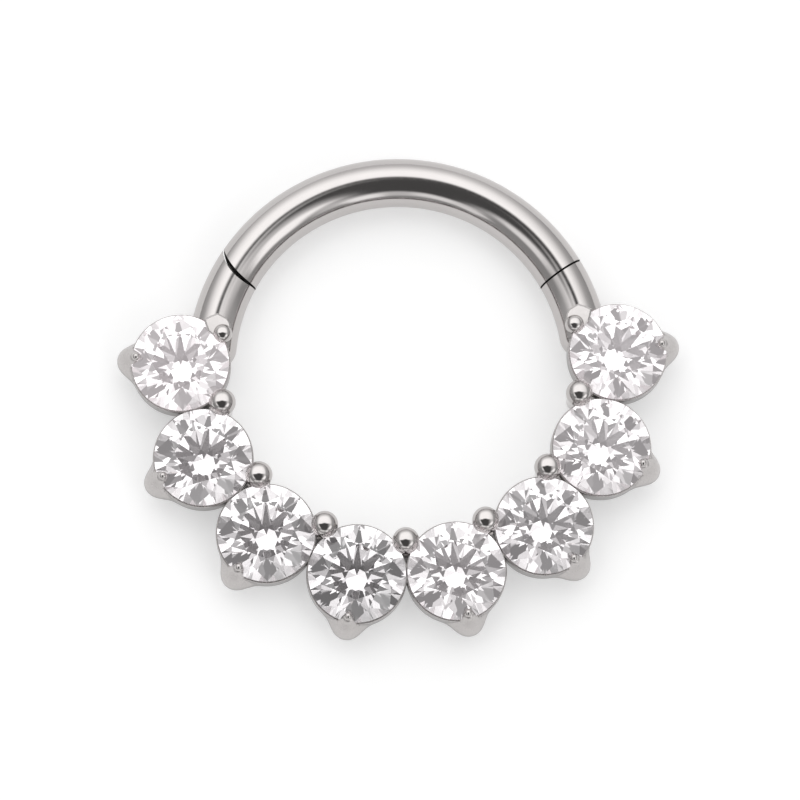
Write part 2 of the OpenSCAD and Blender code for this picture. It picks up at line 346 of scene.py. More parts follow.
def true_normals(obj, surface):
    """Shades each face that lies on a known surface with that surface's own normals, for clean reflections.
    surface takes points and gives normals and how far each point is off the surface."""
    mesh = obj.data
    corners = mesh_values(mesh.loops, "vertex_index", kind=np.int32)
    normals = mesh_values(mesh.corner_normals, "vector", 3)
    face_normals = mesh_values(mesh.polygons, "normal", 3)
    owner = np.repeat(np.arange(len(mesh.polygons)), mesh_values(mesh.polygons, "loop_total", kind=np.int32))
    true, off = surface(mesh_values(mesh.vertices, "co", 3)[corners])
    fits = (np.abs(off) < ON_SURFACE) & ((true * face_normals[owner]).sum(axis=1) > SAME_WAY)
    whole = np.ones(len(mesh.polygons), dtype=bool)
    np.logical_and.at(whole, owner, fits)
    use = whole[owner]
    normals[use] = true[use]
    mesh.normals_split_custom_set(normals.tolist())


def torus_surface(points):
    """The wire's round surface."""
    flat = np.hypot(points[:, 0], points[:, 1])
    middle = points * (HOOP_R / np.maximum(flat, 1e-9))[:, None]
    middle[:, 2] = MID_Z
    d = points - middle
    length = np.linalg.norm(d, axis=1)
    return d / np.maximum(length, 1e-9)[:, None], length - WIRE_R


def button_profile(radius, top):
    """Radii and heights of a flat-topped bead from its middle to its widest line."""
    rho = np.sin(np.linspace(0, math.pi / 2, 60))
    slope = np.tan(np.interp(rho, BEAD_SLOPE_R, BEAD_SLOPE))
    drop = np.concatenate([[0], np.cumsum((slope[1:] + slope[:-1]) / 2 * np.diff(rho))])
    return rho * radius, top - drop * radius


def button_surface(centre, radius, top):
    """The surface of such a bead, its axis upright at centre. Its cap is burnished with a faint lean to the
    far side and meets the lower part along a soft crease."""
    rs, zs = button_profile(radius, top)

    def surface(points):
        d = points[:, :2] - centre
        r = np.hypot(d[:, 0], d[:, 1])
        slope = np.interp(r / radius, BEAD_SLOPE_R, BEAD_SLOPE)
        gap = np.abs(points[:, 2] - np.interp(r, rs, zs)) * np.cos(slope)
        off = np.where(points[:, 2] >= zs[-1] - 1e-4, gap, 1.0)
        past = d[:, 1] / radius + CAP_CREASE
        lean = CAP_LEAN * np.clip((past + CREASE_SOFT) / (2 * CREASE_SOFT), 0, 1)
        lean -= CAP_FALL * np.clip((CREASE_SOFT - past) / (2 * CREASE_SOFT), 0, 1)
        lean *= np.clip((CAP_EDGE + CAP_FADE - r / radius) / CAP_FADE, 0, 1)
        flat = np.sin(slope) / np.maximum(r, 1e-9)
        n = np.stack([d[:, 0] * flat, d[:, 1] * flat + lean, np.cos(slope)], axis=1)
        return n / np.linalg.norm(n, axis=1)[:, None], off
    return surface


# Pieces

def darken_cuts(obj, material):
    """Gives the faces at the seams that lie inside the wire, its ends, slot and bore, a near-black steel:
    painted shade for the dark gaps.
    """
    obj.data.materials.append(material)
    centres = np.array([p.center for p in obj.data.polygons])
    inside = torus_surface(centres)[1] < -CUT_DEPTH
    near = np.zeros(len(centres), dtype=bool)
    for spot in (CLOSURE_MID, HINGE_MID, PIN):
        near |= np.linalg.norm(centres[:, :2] - spot, axis=1) < CUT_REACH
    for p, dark in zip(obj.data.polygons, inside & near):
        p.material_index = int(dark)


def finish_piece(obj, material, body, node, slot, sharp=35.0, surface=None, cut_material=None):
    """Smooth shading with edges crisp above the angle sharp, material, millimetres to metres, body, and the
    CAD node that it replaces."""
    for p in obj.data.polygons:
        p.use_smooth = True
    obj.data.set_sharp_from_angle(angle=math.radians(sharp))
    if surface:
        true_normals(obj, surface)
    obj.data.materials.clear()
    obj.data.materials.append(material)
    if cut_material:
        darken_cuts(obj, cut_material)
    obj.data.transform(Matrix.Scale(MM, 4))
    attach(obj, body)
    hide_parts(node)
    return obj


def setting_piece(obj, material, **options):
    """A piece of the fixed lower half's metal."""
    return finish_piece(obj, material, "setting", "gallery", "setting_metal", **options)


def arc_piece(obj, material, **options):
    """A piece of the plain arc."""
    return finish_piece(obj, material, "arc", "hoop_segment", "wire_metal", **options)


# Where the wire's ends lie

def closing_end(radius, off):
    """Angle at which the closing seam's face, off from the seam, crosses a circle about the hoop's centre."""
    along = polar(1, CLOSURE_AXIS)
    p = CLOSURE_MID + off * polar(1, CLOSURE_AXIS + math.pi / 2)
    b, c = p @ along, p @ p - radius * radius
    s = -b + np.sqrt(b * b - c)
    return np.arctan2(p[1] + s * along[1], p[0] + s * along[0])


def hinge_end(radius, end):
    """Angle at which a round end at the hinge seam crosses a circle about the hoop's centre.
    It halves the stretch of the end that holds the crossing."""
    lo, hi = np.full_like(radius, -0.95), np.full_like(radius, 0.95)
    for _ in range(40):
        x = (lo + hi) / 2
        y = end[0] - np.sqrt(end[1] ** 2 - x * x)
        px = HINGE_MID[0] + x * HINGE_X[0] + y * HINGE_Y[0]
        py = HINGE_MID[1] + x * HINGE_X[1] + y * HINGE_Y[1]
        far = np.hypot(px, py) > radius
        lo, hi = np.where(far, x, lo), np.where(far, hi, x)
    return np.arctan2(py, px)


def wire(name, start, stop, steps, ball=None):
    """A length of the hoop's wire whose ends follow given faces, with finely rounded edges.
    start and stop take radii and give angles. With ball, it ends in a ball of that radius instead."""
    phi = around(WIRE_SIDES)
    middle = np.array([HOOP_R])
    way = 1.0 if stop(middle)[0] > start(middle)[0] else -1.0
    rounding = [(END_BEVEL * (1 - math.sin(a)), END_BEVEL * (1 - math.cos(a)))
                for a in np.radians([90, 67, 45, 22, 0])]
    rows = []

    def ring(radius, angle):
        rad = HOOP_R + radius * np.cos(phi)
        a = angle(rad)
        rows.append(np.stack([rad * np.cos(a), rad * np.sin(a), MID_Z + radius * np.sin(phi)], axis=1))

    for radius in END_RINGS:
        ring(radius, start)
    for back, shrink in rounding:
        ring(WIRE_R - shrink, lambda rad: start(rad) + way * back / HOOP_R)
    first = way * END_BEVEL / HOOP_R
    last = 0 if ball else first
    for t in np.linspace(0, 1, steps)[1:-1]:
        ring(WIRE_R, lambda rad: (start(rad) + first) * (1 - t) + t * (stop(rad) - last))
    if ball:
        end = stop(middle)[0]
        ring(WIRE_R, lambda rad: np.full_like(rad, end))
        for a in np.radians(np.linspace(6, 84, 14)):
            radius = ball * math.cos(a) + (WIRE_R - ball) * (1 - a / (math.pi / 2))
            ring(radius, lambda rad: np.full_like(rad, end + way * ball * math.sin(a) / HOOP_R))
    else:
        for back, shrink in reversed(rounding):
            ring(WIRE_R - shrink, lambda rad: stop(rad) - way * back / HOOP_R)
        for radius in reversed(END_RINGS):
            ring(radius, stop)
    return tube(name, rows)


# Materials

def node_material(name):
    m = bpy.data.materials.new(name)
    m.use_nodes = True
    nodes, links = m.node_tree.nodes, m.node_tree.links
    return m, nodes, links, nodes["Principled BSDF"]


def noise(nodes, links, vector, scale, detail):
    n = nodes.new("ShaderNodeTexNoise")
    n.inputs["Scale"].default_value = scale
    n.inputs["Detail"].default_value = detail
    links.new(vector, n.inputs["Vector"])
    return n.outputs["Fac"]


def map_range(nodes, links, value, before, after, kind="LINEAR"):
    """Moves values from one range, before, to another, after."""
    n = nodes.new("ShaderNodeMapRange")
    n.interpolation_type = kind
    n.inputs["From Min"].default_value, n.inputs["From Max"].default_value = before
    n.inputs["To Min"].default_value, n.inputs["To Max"].default_value = after
    links.new(value, n.inputs["Value"])
    return n.outputs["Result"]


def steel(name, colour, rough, wear, wall_shade=None):
    """Polished steel: faint clouds in its tone, fine polishing lines in its roughness, a trace of waviness.
    wall is painted shade: how much darker its colour is made on upright walls, standing for the shadowed floor
    that they reflect."""
    m, nodes, links, bsdf = node_material(name)
    bsdf.inputs["Metallic"].default_value = 1.0
    spot = nodes.new("ShaderNodeTexCoord").outputs["Object"]
    tone = nodes.new("ShaderNodeValToRGB")
    dull, bright = tone.color_ramp.elements
    dull.position, bright.position = 0.3, 0.7
    dull.color = (*[c * 0.965 for c in colour], 1)
    bright.color = (*colour, 1)
    links.new(noise(nodes, links, spot, 900.0, 3.0), tone.inputs["Fac"])
    shade = tone.outputs["Color"]
    # painted shade: the colour darkens where the surface stands upright
    if wall_shade:
        split = nodes.new("ShaderNodeSeparateXYZ")
        links.new(nodes.new("ShaderNodeNewGeometry").outputs["Normal"], split.inputs[0])
        scale = nodes.new("ShaderNodeVectorMath")
        scale.operation = "SCALE"
        links.new(shade, scale.inputs[0])
        upright = map_range(nodes, links, split.outputs["Z"], (0.04, 0.34), (wall_shade, 1.0))
        links.new(upright, scale.inputs["Scale"])
        shade = scale.outputs["Vector"]
    links.new(shade, bsdf.inputs["Base Color"])
    stretch = nodes.new("ShaderNodeMapping")
    stretch.inputs["Scale"].default_value = (1.0, 1.0, 5.0)
    links.new(spot, stretch.inputs["Vector"])
    fine = noise(nodes, links, stretch.outputs["Vector"], 9000.0, 4.0)
    links.new(map_range(nodes, links, fine, (0.35, 0.65), (rough, rough + wear)), bsdf.inputs["Roughness"])
    bump = nodes.new("ShaderNodeBump")
    bump.inputs["Strength"].default_value = 0.05
    bump.inputs["Distance"].default_value = 0.000004
    links.new(fine, bump.inputs["Height"])
    links.new(bump.outputs["Normal"], bsdf.inputs["Normal"])
    return m


def crystal(name, glow, clear):
    """Clear cubic zirconia: strong refraction, mirror-smooth facets, a very faint clouding inside.
    The trace of glow stands for the light that scatters on the many fine facet edges."""
    m, nodes, links, bsdf = node_material(name)
    bsdf.inputs["Transmission Weight"].default_value = 1.0
    bsdf.inputs["Emission Color"].default_value = (1.0, 0.93, 0.95, 1)
    bsdf.inputs["Emission Strength"].default_value = glow
    bsdf.inputs["IOR"].default_value = 2.16
    bsdf.inputs["Roughness"].default_value = 0.0
    spot = nodes.new("ShaderNodeTexCoord").outputs["Object"]
    # the base colour is the stone's own faint pink tint, scaled by clear, which is partly painted shade
    tone = nodes.new("ShaderNodeValToRGB")
    tone.color_ramp.elements[0].color = (0.99 * clear, 0.955 * clear, 0.97 * clear, 1)
    tone.color_ramp.elements[1].color = (clear, 0.97 * clear, 0.985 * clear, 1)
    links.new(noise(nodes, links, spot, 1500.0, 2.0), tone.inputs["Fac"])
    links.new(tone.outputs["Color"], bsdf.inputs["Base Color"])
    return m


STEEL = (0.528, 0.505, 0.497)
wire_steel = steel("polished_wire", STEEL, 0.09, 0.03)
setting_steel = steel("polished_setting", STEEL, 0.07, 0.05)
# painted shade: the upright walls of the cups, claws and plates get a darker colour
cup_steel = steel("cup_steel", STEEL, 0.26, 0.06, wall_shade=0.62)
# the seats under the stones are painted light: a lighter steel whose glow stands for the light that goes round
# and round in there
glowing_seat_steel = steel("glowing_seat_steel", (0.86, 0.84, 0.84), 0.3, 0.1)
seat_shader = glowing_seat_steel.node_tree.nodes["Principled BSDF"]
seat_shader.inputs["Emission Color"].default_value = (1.0, 0.96, 0.97, 1)
seat_shader.inputs["Emission Strength"].default_value = 0.3
pin_steel = steel("pin_metal", (0.5, 0.495, 0.49), 0.15, 0.1)
# painted shade: the faces inside the seams, slot and bore get a near-black steel
seam_shade_steel = steel("seam_shade_faces", (0.10, 0.097, 0.094), 0.5, 0.2)
# each stone has its own glow, painted light, and its own clearness, partly painted shade, so that the stones at
# the two ends of the row look brighter than those in its middle
STONE_GLOW = (0.08, 0.03, 0.02, 0.008, 0.035, 0.027, 0.043, 0.057)
STONE_CLEAR_AND_SHADE = (0.94, 0.93, 0.92, 0.9, 0.92, 0.92, 0.94, 0.94)
clear_stones = [crystal(f"clear_crystal_{i}", glow, clear)
                for i, (glow, clear) in enumerate(zip(STONE_GLOW, STONE_CLEAR_AND_SHADE), 1)]

# The camera, at the photograph's angle: its lean to the right, towards the far side and its roll, how far off
# it is in metres, and its focal length in pixels of the photograph
LEAN_X = math.radians(-2.10)
LEAN_Y = math.radians(-11.41)
ROLL = math.radians(-1.87)
CAMERA_FAR = 0.08089
PHOTO_PIXELS = 800.0
FOCAL_PIXELS = 3298.0
SENSOR = 36.0
back = Vector((math.sin(LEAN_X) * math.cos(LEAN_Y), math.sin(LEAN_Y), math.cos(LEAN_X) * math.cos(LEAN_Y)))
level_right = Vector((0, 1, 0)).cross(back).normalized()
level_up = back.cross(level_right)
right = math.cos(ROLL) * level_right + math.sin(ROLL) * level_up
up = -math.sin(ROLL) * level_right + math.cos(ROLL) * level_up
camera_data = bpy.data.cameras.new("camera")
camera = bpy.data.objects.new("camera", camera_data)
scene.collection.objects.link(camera)
camera_turn = Matrix((right, up, back)).transposed().to_4x4()
camera.matrix_world = Matrix.Translation(Vector((0, 0, MID_Z * MM)) + CAMERA_FAR * back) @ camera_turn
camera_data.sensor_width = SENSOR
camera_data.lens = SENSOR * FOCAL_PIXELS / PHOTO_PIXELS
camera_data.shift_x, camera_data.shift_y = 0.001, -0.044
camera_data.clip_start, camera_data.clip_end = 0.005, 10.0
scene.camera = camera


# The plain arc

def slot_tool():
    """The slot for the tongue: open to the outside of the hoop, round about the pin on its inside."""
    r = TONGUE_R + SLOT_ROOM
    outline = [(-2, PIN_UP + r), (-2, -2), (r, -2)]
    outline += [(r * math.cos(a), PIN_UP + r * math.sin(a)) for a in np.radians(np.arange(0, 91, 6))]
    half = TONGUE_T / 2 + SLOT_ROOM
    rows = [[(x, y, z) for x, y in outline] for z in (MID_Z - half, MID_Z + half)]
    return place(tube("slot", rows), AT_SEAM)


def curved_post():
    """The closing post: a short length of rod on a circle about the pin, its far end a little rounded."""
    rows = []
    for t, shrink in ((0.0, 0.05), (0.04, 0.012), (0.1, 0.0), (1.0, 0.0)):
        a = post_start - post_arc + t * (post_arc + POST_ROOT)
        r = POST_R - shrink
        rows.append([((post_ring + r * math.cos(p)) * math.cos(a) + PIN[0],
                      (post_ring + r * math.cos(p)) * math.sin(a) + PIN[1],
                      MID_Z + r * math.sin(p)) for p in around(POST_SIDES)])
    return tube("closing_post", rows)


arc = wire("arc_wire", lambda r: closing_end(r, SEAM_GAP / 2), lambda r: hinge_end(r, MOVING_END), 300)
carve(arc, [slot_tool(), place(rod("bore", PIN_R + ARC_PIN_ROOM, -1, PIN_HIGH + SLOT_ROOM), AT_PIN)])
arc_piece(arc, wire_steel, surface=torus_surface, cut_material=seam_shade_steel)

post_vec = CLOSURE_MID - PIN
post_ring = math.hypot(*post_vec) + POST_OUT
post_start = math.atan2(post_vec[1], post_vec[0])
post_arc = POST_LENGTH / post_ring
arc_piece(curved_post(), wire_steel)


# The stones

def gem_point(r, deg, z):
    return np.array([*polar(r, math.radians(deg)), z])


def gem_planes():
    """The facet planes of a round brilliant as (point, outward normal), its axis on Z."""
    inner = TABLE_R * math.cos(FACET_HALF)
    star_r = inner + 0.5 * (STONE_R - inner)
    star_z = TABLE_Z - CROWN_H * (star_r * math.cos(FACET_HALF) - TABLE_R) / (STONE_R - TABLE_R)
    half_z = CULET_Z + PAVILION_H * LOWER_R * math.cos(FACET_HALF) / STONE_R
    facets = [[gem_point(1, deg, TABLE_Z) for deg in (0, 120, 240)]]
    for k in range(8):
        a, s = 45 * k, 45 * k + 22.5
        star, low = gem_point(star_r, s, star_z), gem_point(LOWER_R, s, half_z)
        upper = [gem_point(STONE_R, deg, GIRDLE_TOP) for deg in (a, s, a + 45)]
        lower = [gem_point(STONE_R, deg, GIRDLE_LOW) for deg in (a, s, a + 45)]
        facets.append((gem_point(TABLE_R, a, TABLE_Z), gem_point(TABLE_R, a + 45, TABLE_Z), star))
        facets.append((gem_point(star_r, s - 45, star_z), upper[0], star))
        facets.append((star, upper[0], upper[1]))
        facets.append((star, upper[1], upper[2]))
        facets.append((low, lower[0], lower[1]))
        facets.append((low, lower[1], lower[2]))
        facets.append((gem_point(LOWER_R, s - 45, half_z), lower[0], low))
    planes = []
    middle = np.array([0, 0, GIRDLE_Z])
    for a, b, c in facets:
        n = np.cross(b - a, c - a)
        n /= np.linalg.norm(n)
        planes.append((a, -n if n @ (a - middle) < 0 else n))
    return planes


def gem_mesh():
    """A round bar of 96 sides, cut down to the stone plane by plane."""
    n = 96
    bm = bmesh.new()
    low = [bm.verts.new((*polar(STONE_R, a), CULET_Z - 0.2)) for a in around(n)]
    high = [bm.verts.new((v.co.x, v.co.y, TABLE_Z + 0.2)) for v in low]
    bm.faces.new(list(reversed(low)))
    bm.faces.new(high)
    for k in range(n):
        bm.faces.new((low[k], low[(k + 1) % n], high[(k + 1) % n], high[k]))
    for point, normal in gem_planes():
        cut = bmesh.ops.bisect_plane(bm, geom=bm.verts[:] + bm.edges[:] + bm.faces[:], dist=1e-5,
                                     plane_co=Vector(point), plane_no=Vector(normal), clear_outer=True)
        edges = [e for e in cut["geom_cut"] if isinstance(e, bmesh.types.BMEdge)]
        bmesh.ops.edgeloop_fill(bm, edges=[e for e in edges if e.is_boundary])
    bmesh.ops.recalc_face_normals(bm, faces=bm.faces)
    mesh = bpy.data.meshes.new("gem")
    bm.to_mesh(mesh)
    bm.free()
    return mesh


gem = gem_mesh()
for i in range(1, 9):
    obj = bpy.data.objects.new(f"brilliant_{i}", gem.copy())
    scene.collection.objects.link(obj)
    place(obj, at_stone(i, TURNS[i - 1]))
    for p in obj.data.polygons:
        p.use_smooth = False
    obj.data.transform(Matrix.Scale(MM, 4))
    obj.data.materials.append(clear_stones[i - 1])
    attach(obj, "setting")
    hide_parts(f"stone_{i}")


# The tools that make room for the stones

def seat(i, g=PRONG_ROOM):
    """The room for a stone, g away from it, and open above it."""
    r, r_table = STONE_R + g, TABLE_R + g
    profile = [(0, CULET_Z - 1.4 * g), (r, GIRDLE_LOW - 0.4 * g), (r, GIRDLE_TOP + 0.4 * g),
               (r_table, TABLE_Z + g), (r_table, TABLE_Z + 1), (0, TABLE_Z + 1)]
    return place(lathe("seat", profile, 96), at_stone(i))


def bore_tool(i, r):
    return place(rod("bore_tool", r, -1, 0.5, 64), at_stone(i))


# Cups and claws

def smooth_step(t):
    t = min(max(t, 0.0), 1.0)
    return t * t * (3 - 2 * t)


def smooth_path(points, steps):
    """A Catmull-Rom curve through the rows of points."""
    p = np.array([points[0], *points, points[-1]], float)
    out = []
    for a, b, c, d in zip(p, p[1:], p[2:], p[3:]):
        for t in np.linspace(0, 1, steps, endpoint=False):
            bend = (2 * a - 5 * b + 4 * c - d) * t ** 2 + (3 * b - a - 3 * c + d) * t ** 3
            out.append(0.5 * (2 * b + (c - a) * t + bend))
    out.append(p[-2])
    return np.array(out)


# a claw's height, distance from its stone's axis and radius, from its foot in the collar to its tip
CLAW_PATH = smooth_path([(0.0, 0.80, 0.08), (0.18, 0.95, 0.2), (0.4, 1.12, 0.345), (0.62, 1.19, 0.38),
                         (0.85, 1.18, 0.33), (1.0, 1.16, 0.27), (1.12, 1.14, 0.2), (1.24, 1.11, 0.135),
                         (1.33, 1.09, 0.105)], 8)
# where a claw's round end starts, its height, and how it leans in
CLAW_TIP_Z = 1.27
CLAW_TIP_H = 0.05
CLAW_TIP_LEAN = -0.3
# the small ball that it ends in: radius, distance from the stone's axis and height
TIP_R = 0.105
TIP_OUT = 1.075
TIP_Z = 1.31
# the end stones' claws stand a little off the line from the hoop's centre, in degrees
CLAW_TURNS = {1: -7, 8: 7}


def at_claw(i):
    return at_stone(i, CLAW_TURNS.get(i, 0))


def claw_at(z):
    """Distance of a claw's middle from its stone's axis and its radius, at height z."""
    return np.interp(z, CLAW_PATH[:, 0], CLAW_PATH[:, 1]), np.interp(z, CLAW_PATH[:, 0], CLAW_PATH[:, 2])


def cup_outline(z, r_collar, angles):
    """The cup's outer radius at height z: the collar's circle and the claw's disc, run together with a
    fillet that is wide low down and gone at the collar's top. It halves the stretch of radius that holds it."""
    mid, r_claw = claw_at(z)
    fillet = FILLET_TOP + FILLET_LOW * (1 - smooth_step((z - FILLET_Z) / (COLLAR_TOP - FILLET_Z)))
    lo, hi = np.full_like(angles, 0.3), np.full_like(angles, 2.2)
    for _ in range(34):
        rho = (lo + hi) / 2
        a, b = rho - r_collar, np.hypot(rho * np.cos(angles) - mid, rho * np.sin(angles)) - r_claw
        h = np.maximum(fillet - np.abs(a - b), 0) / fillet
        inside = np.minimum(a, b) - h * h * fillet / 4 < 0
        lo, hi = np.where(inside, rho, lo), np.where(inside, hi, rho)
    return (lo + hi) / 2


def cup(i):
    """The collar under a stone with the foot of its claw, one smooth body round the seat's open cone."""
    angles = around(CUP_N)
    # the top edge is finely rounded, but not where the claw goes on upwards
    from_claw = np.abs((angles + math.pi) % (2 * math.pi) - math.pi)
    off_claw = np.clip((from_claw - CLAW_HALF) / CLAW_FADE, 0, 1)
    rows = []
    for z in CUP_HEIGHTS:
        r_collar = COLLAR_FOOT_R + (COLLAR_R - COLLAR_FOOT_R) * smooth_step(z / WALL_Z)
        foot = FOOT_ROUND * (1 - min(z / FOOT_ROUND, 1))
        rim = RIM_ROUND * max(0, (z - (COLLAR_TOP - RIM_H)) / RIM_H) ** 2 * off_claw
        rows.append((cup_outline(z, r_collar, angles) - foot - rim, z))
    # the open cone of the seat, whose point would be at low, and the bore below it
    low = CULET_Z - CONE_POINT_ROOM
    slope = (STONE_R + CONE_ROOM) / (GIRDLE_LOW - CONE_GIRDLE_ROOM - low)
    inner_top = (COLLAR_TOP - low) * slope
    inside = [(inner_top, COLLAR_TOP), (inner_top - 0.012, COLLAR_TOP - 0.01),
              (BORE_R + 0.012, low + (BORE_R + 0.012) / slope), (BORE_R, low + BORE_R / slope - 0.01),
              (BORE_R, 0.02), (BORE_R + 0.02, 0.0)]
    rows += [(np.full_like(angles, r), z) for r, z in inside]
    verts = [(r * math.cos(a), r * math.sin(a), z) for rho, z in rows for r, a in zip(rho, angles)]
    faces = [[v % len(verts) for v in face] for face in skin(len(rows) + 1, CUP_N)]
    return place(outward(new_object(f"cup_{i}", verts, faces)), at_claw(i))


def claw(i):
    """The upper part of a claw: it rises from the cup, leans in over the stone's edge and ends round."""
    # the first two rings lie just inside the cup
    levels = [(0.05, COLLAR_TOP - 0.1), (0.004, COLLAR_TOP - 0.004)]
    levels += [(0.0, z) for z in np.linspace(COLLAR_TOP + 0.002, CLAW_TIP_Z, 16)]
    rows = []
    for sunk, z in levels:
        mid, r = claw_at(z)
        rows.append((mid, r - sunk, z))
    mid, r, z = rows[-1]
    for a in np.radians(np.linspace(10, 85, 9)):
        rise = CLAW_TIP_H * math.sin(a)
        rows.append((mid + CLAW_TIP_LEAN * rise, r * math.cos(a), z + rise))
    rings = [[(mid + r * math.cos(a), r * math.sin(a), z) for a in around(64)] for mid, r, z in rows]
    return carve(place(tube(f"claw_{i}", rings), at_claw(i)), [seat(i)])


def claw_tip(i):
    """The small burnished ball that a claw ends in, on the stone's edge."""
    arc = np.radians(np.linspace(-82.5, 82.5, 23))
    profile = [(0, -TIP_R), *[(TIP_R * math.cos(a), TIP_R * math.sin(a)) for a in arc], (0, TIP_R)]
    ball = lathe(f"claw_tip_{i}", profile, 40)
    return carve(place(ball, at_claw(i) @ Matrix.Translation((TIP_OUT, 0, TIP_Z))), [seat(i)])


for i in range(1, 9):
    obj = setting_piece(cup(i), cup_steel, sharp=38)
    # painted light: the seat's rows get the lighter, glowing steel
    obj.data.materials.append(glowing_seat_steel)
    for p in obj.data.polygons[len(CUP_HEIGHTS) * CUP_N:(len(CUP_HEIGHTS) + SEAT_ROWS) * CUP_N]:
        p.material_index = 1
    setting_piece(claw(i), cup_steel, sharp=40)
    setting_piece(claw_tip(i), setting_steel, sharp=40)


# Beads, the webs that tie them to the rail, and the pointed plates

def bead(k):
    """A bead prong on its shaft between stones k and k + 1, on the inside of the curve."""
    rs, zs = button_profile(BEAD_R, BEAD_TOP)
    profile = [*BEAD_NECK, (0.329, zs[-1] - 0.03), *zip(rs[::-1], zs[::-1])]
    obj = place(lathe(f"bead_{k}", profile, 96), at_angle(stone_angle(k + 0.5), BEAD_RING))
    return carve(obj, [seat(k), seat(k + 1)])


def end_bead(name, a, stone):
    """The smaller bead at one end of the row."""
    rs, zs = button_profile(END_BEAD_R, END_BEAD_TOP)
    profile = [(0, END_BEAD_FOOT), (END_BEAD_R * 0.8, END_BEAD_FOOT), (END_BEAD_R * 0.97, zs[-1] - 0.06),
               *zip(rs[::-1], zs[::-1])]
    return carve(place(lathe(name, profile, 72), at_angle(a, END_BEAD_RING)), [seat(stone)])


def shield(name, a, stone, side):
    """A pointed plate on the wire beside an end bead: its two roof edges meet in a tip on the wire's ridge.
    side is the way along the wire that it points."""
    rows = []
    for grow, z in ((1.0, 0.75), (1.0, SHIELD_TOP - 0.035), (0.985, SHIELD_TOP - 0.022), (0.86, SHIELD_TOP),
                    (0.5, SHIELD_TOP + 0.004)):
        p = SHIELD_MIDDLE + (SHIELD_OUTLINE - SHIELD_MIDDLE) * grow
        # the foot is level and the top falls along the wire
        fall = SHIELD_FALL * p[:, 1] if z > 1 else 0 * p[:, 1]
        rows.append(np.stack([p[:, 0], side * p[:, 1], z - fall], axis=1))
    return carve(place(tube(name, rows), at_angle(a, END_BEAD_RING)), [seat(stone)])


for k in range(1, 8):
    a = stone_angle(k + 0.5)
    top = button_surface(polar(BEAD_RING, a), BEAD_R, BEAD_TOP)
    setting_piece(bead(k), setting_steel, sharp=32, surface=top)
    web = place(box(f"web_{k}", WEB_LOW, WEB_HIGH), at_angle(a, BEAD_RING))
    setting_piece(web, setting_steel)
for name, stone, deg, side in END_BEADS:
    a = math.radians(deg)
    top = button_surface(polar(END_BEAD_RING, a), END_BEAD_R, END_BEAD_TOP)
    setting_piece(end_bead(f"end_bead_{name}", a, stone), setting_steel, surface=top)
    setting_piece(shield(f"shield_{name}", a, stone, side), cup_steel, sharp=9)

# The two fixed wire ends

left_stub = wire("stub_left", lambda r: hinge_end(r, FIXED_END),
                 lambda r: np.full_like(r, LEFT_STUB_END), 90, STUB_BALL)
carve(left_stub, [seat(1, WIRE_ROOM), bore_tool(1, BORE_R + WIRE_ROOM)])
setting_piece(left_stub, wire_steel, surface=torus_surface, cut_material=seam_shade_steel)

right_stub = wire("stub_right", lambda r: closing_end(r, -SEAM_GAP / 2),
                  lambda r: np.full_like(r, RIGHT_STUB_END), 90, STUB_BALL)
socket_mid = PIN + polar(post_ring, post_start)
socket_turn = Matrix.Rotation(post_start + math.pi / 2, 4, "Z") @ Matrix.Rotation(math.pi / 2, 4, "Y")
socket = rod("socket", POST_R + SOCKET_ROOM, -0.7, 0.2)
place(socket, Matrix.Translation((*socket_mid, MID_Z)) @ socket_turn)
carve(right_stub, [seat(8, WIRE_ROOM), bore_tool(8, BORE_R + WIRE_ROOM), socket])
setting_piece(right_stub, wire_steel, surface=torus_surface, cut_material=seam_shade_steel)


# The back rail

def rail():
    ends = stone_angle(1) + RAIL_INSET, stone_angle(8) - RAIL_INSET
    rings = [[(*polar(r, a), z) for r, z in RAIL_SECTION] for a in np.linspace(*ends, RAIL_STEPS)]
    return carve(tube("back_rail", rings), [bore_tool(i, BORE_R + 0.01) for i in range(1, 9)])


setting_piece(rail(), setting_steel, sharp=30)

# The hinge tongue and the pin

tongue_low, tongue_high = MID_Z - TONGUE_T / 2, MID_Z + TONGUE_T / 2
tongue = place(bevelled_rod("hinge_tongue", TONGUE_R, tongue_low, tongue_high, TONGUE_BEVEL, 64),
               AT_SEAM @ Matrix.Translation((0, PIN_UP, 0)))
arm = box("arm", (-TONGUE_W / 2, -0.5, tongue_low + 0.001), (TONGUE_W / 2, PIN_UP, tongue_high - 0.001))
carve(tongue, [place(arm, AT_SEAM)], "UNION")
carve(tongue, [place(rod("hole", PIN_R + TONGUE_PIN_ROOM, -1, 2), AT_PIN)])
setting_piece(tongue, setting_steel)
pin = place(bevelled_rod("pin_steel", PIN_R, PIN_LOW, PIN_HIGH, PIN_BEVEL, 48), AT_PIN)
finish_piece(pin, pin_steel, "setting", "hinge_pin", "pin_metal")

# The floor, a light table: it glows a little, so the shadows on it stay pale
FLOOR_HALF = 0.6
corners = [(x * FLOOR_HALF, y * FLOOR_HALF, 0) for x, y in ((-1, -1), (1, -1), (1, 1), (-1, 1))]
floor = new_object("floor", corners, [(0, 1, 2, 3)])
floor_mat, _, _, floor_shader = node_material("pale_floor")
floor_shader.inputs["Base Color"].default_value = (0.7, 0.7, 0.7, 1)
floor_shader.inputs["Roughness"].default_value = 0.9
floor_shader.inputs["Specular IOR Level"].default_value = 0.0
floor_shader.inputs["Emission Color"].default_value = (1.0, 1.0, 1.0, 1)
floor_shader.inputs["Emission Strength"].default_value = 0.42
floor.data.materials.append(floor_mat)

# The light: one sky with soft boxes in it
world = bpy.data.worlds.new("studio")
scene.world = world
world.use_nodes = True
nodes, links = world.node_tree.nodes, world.node_tree.links


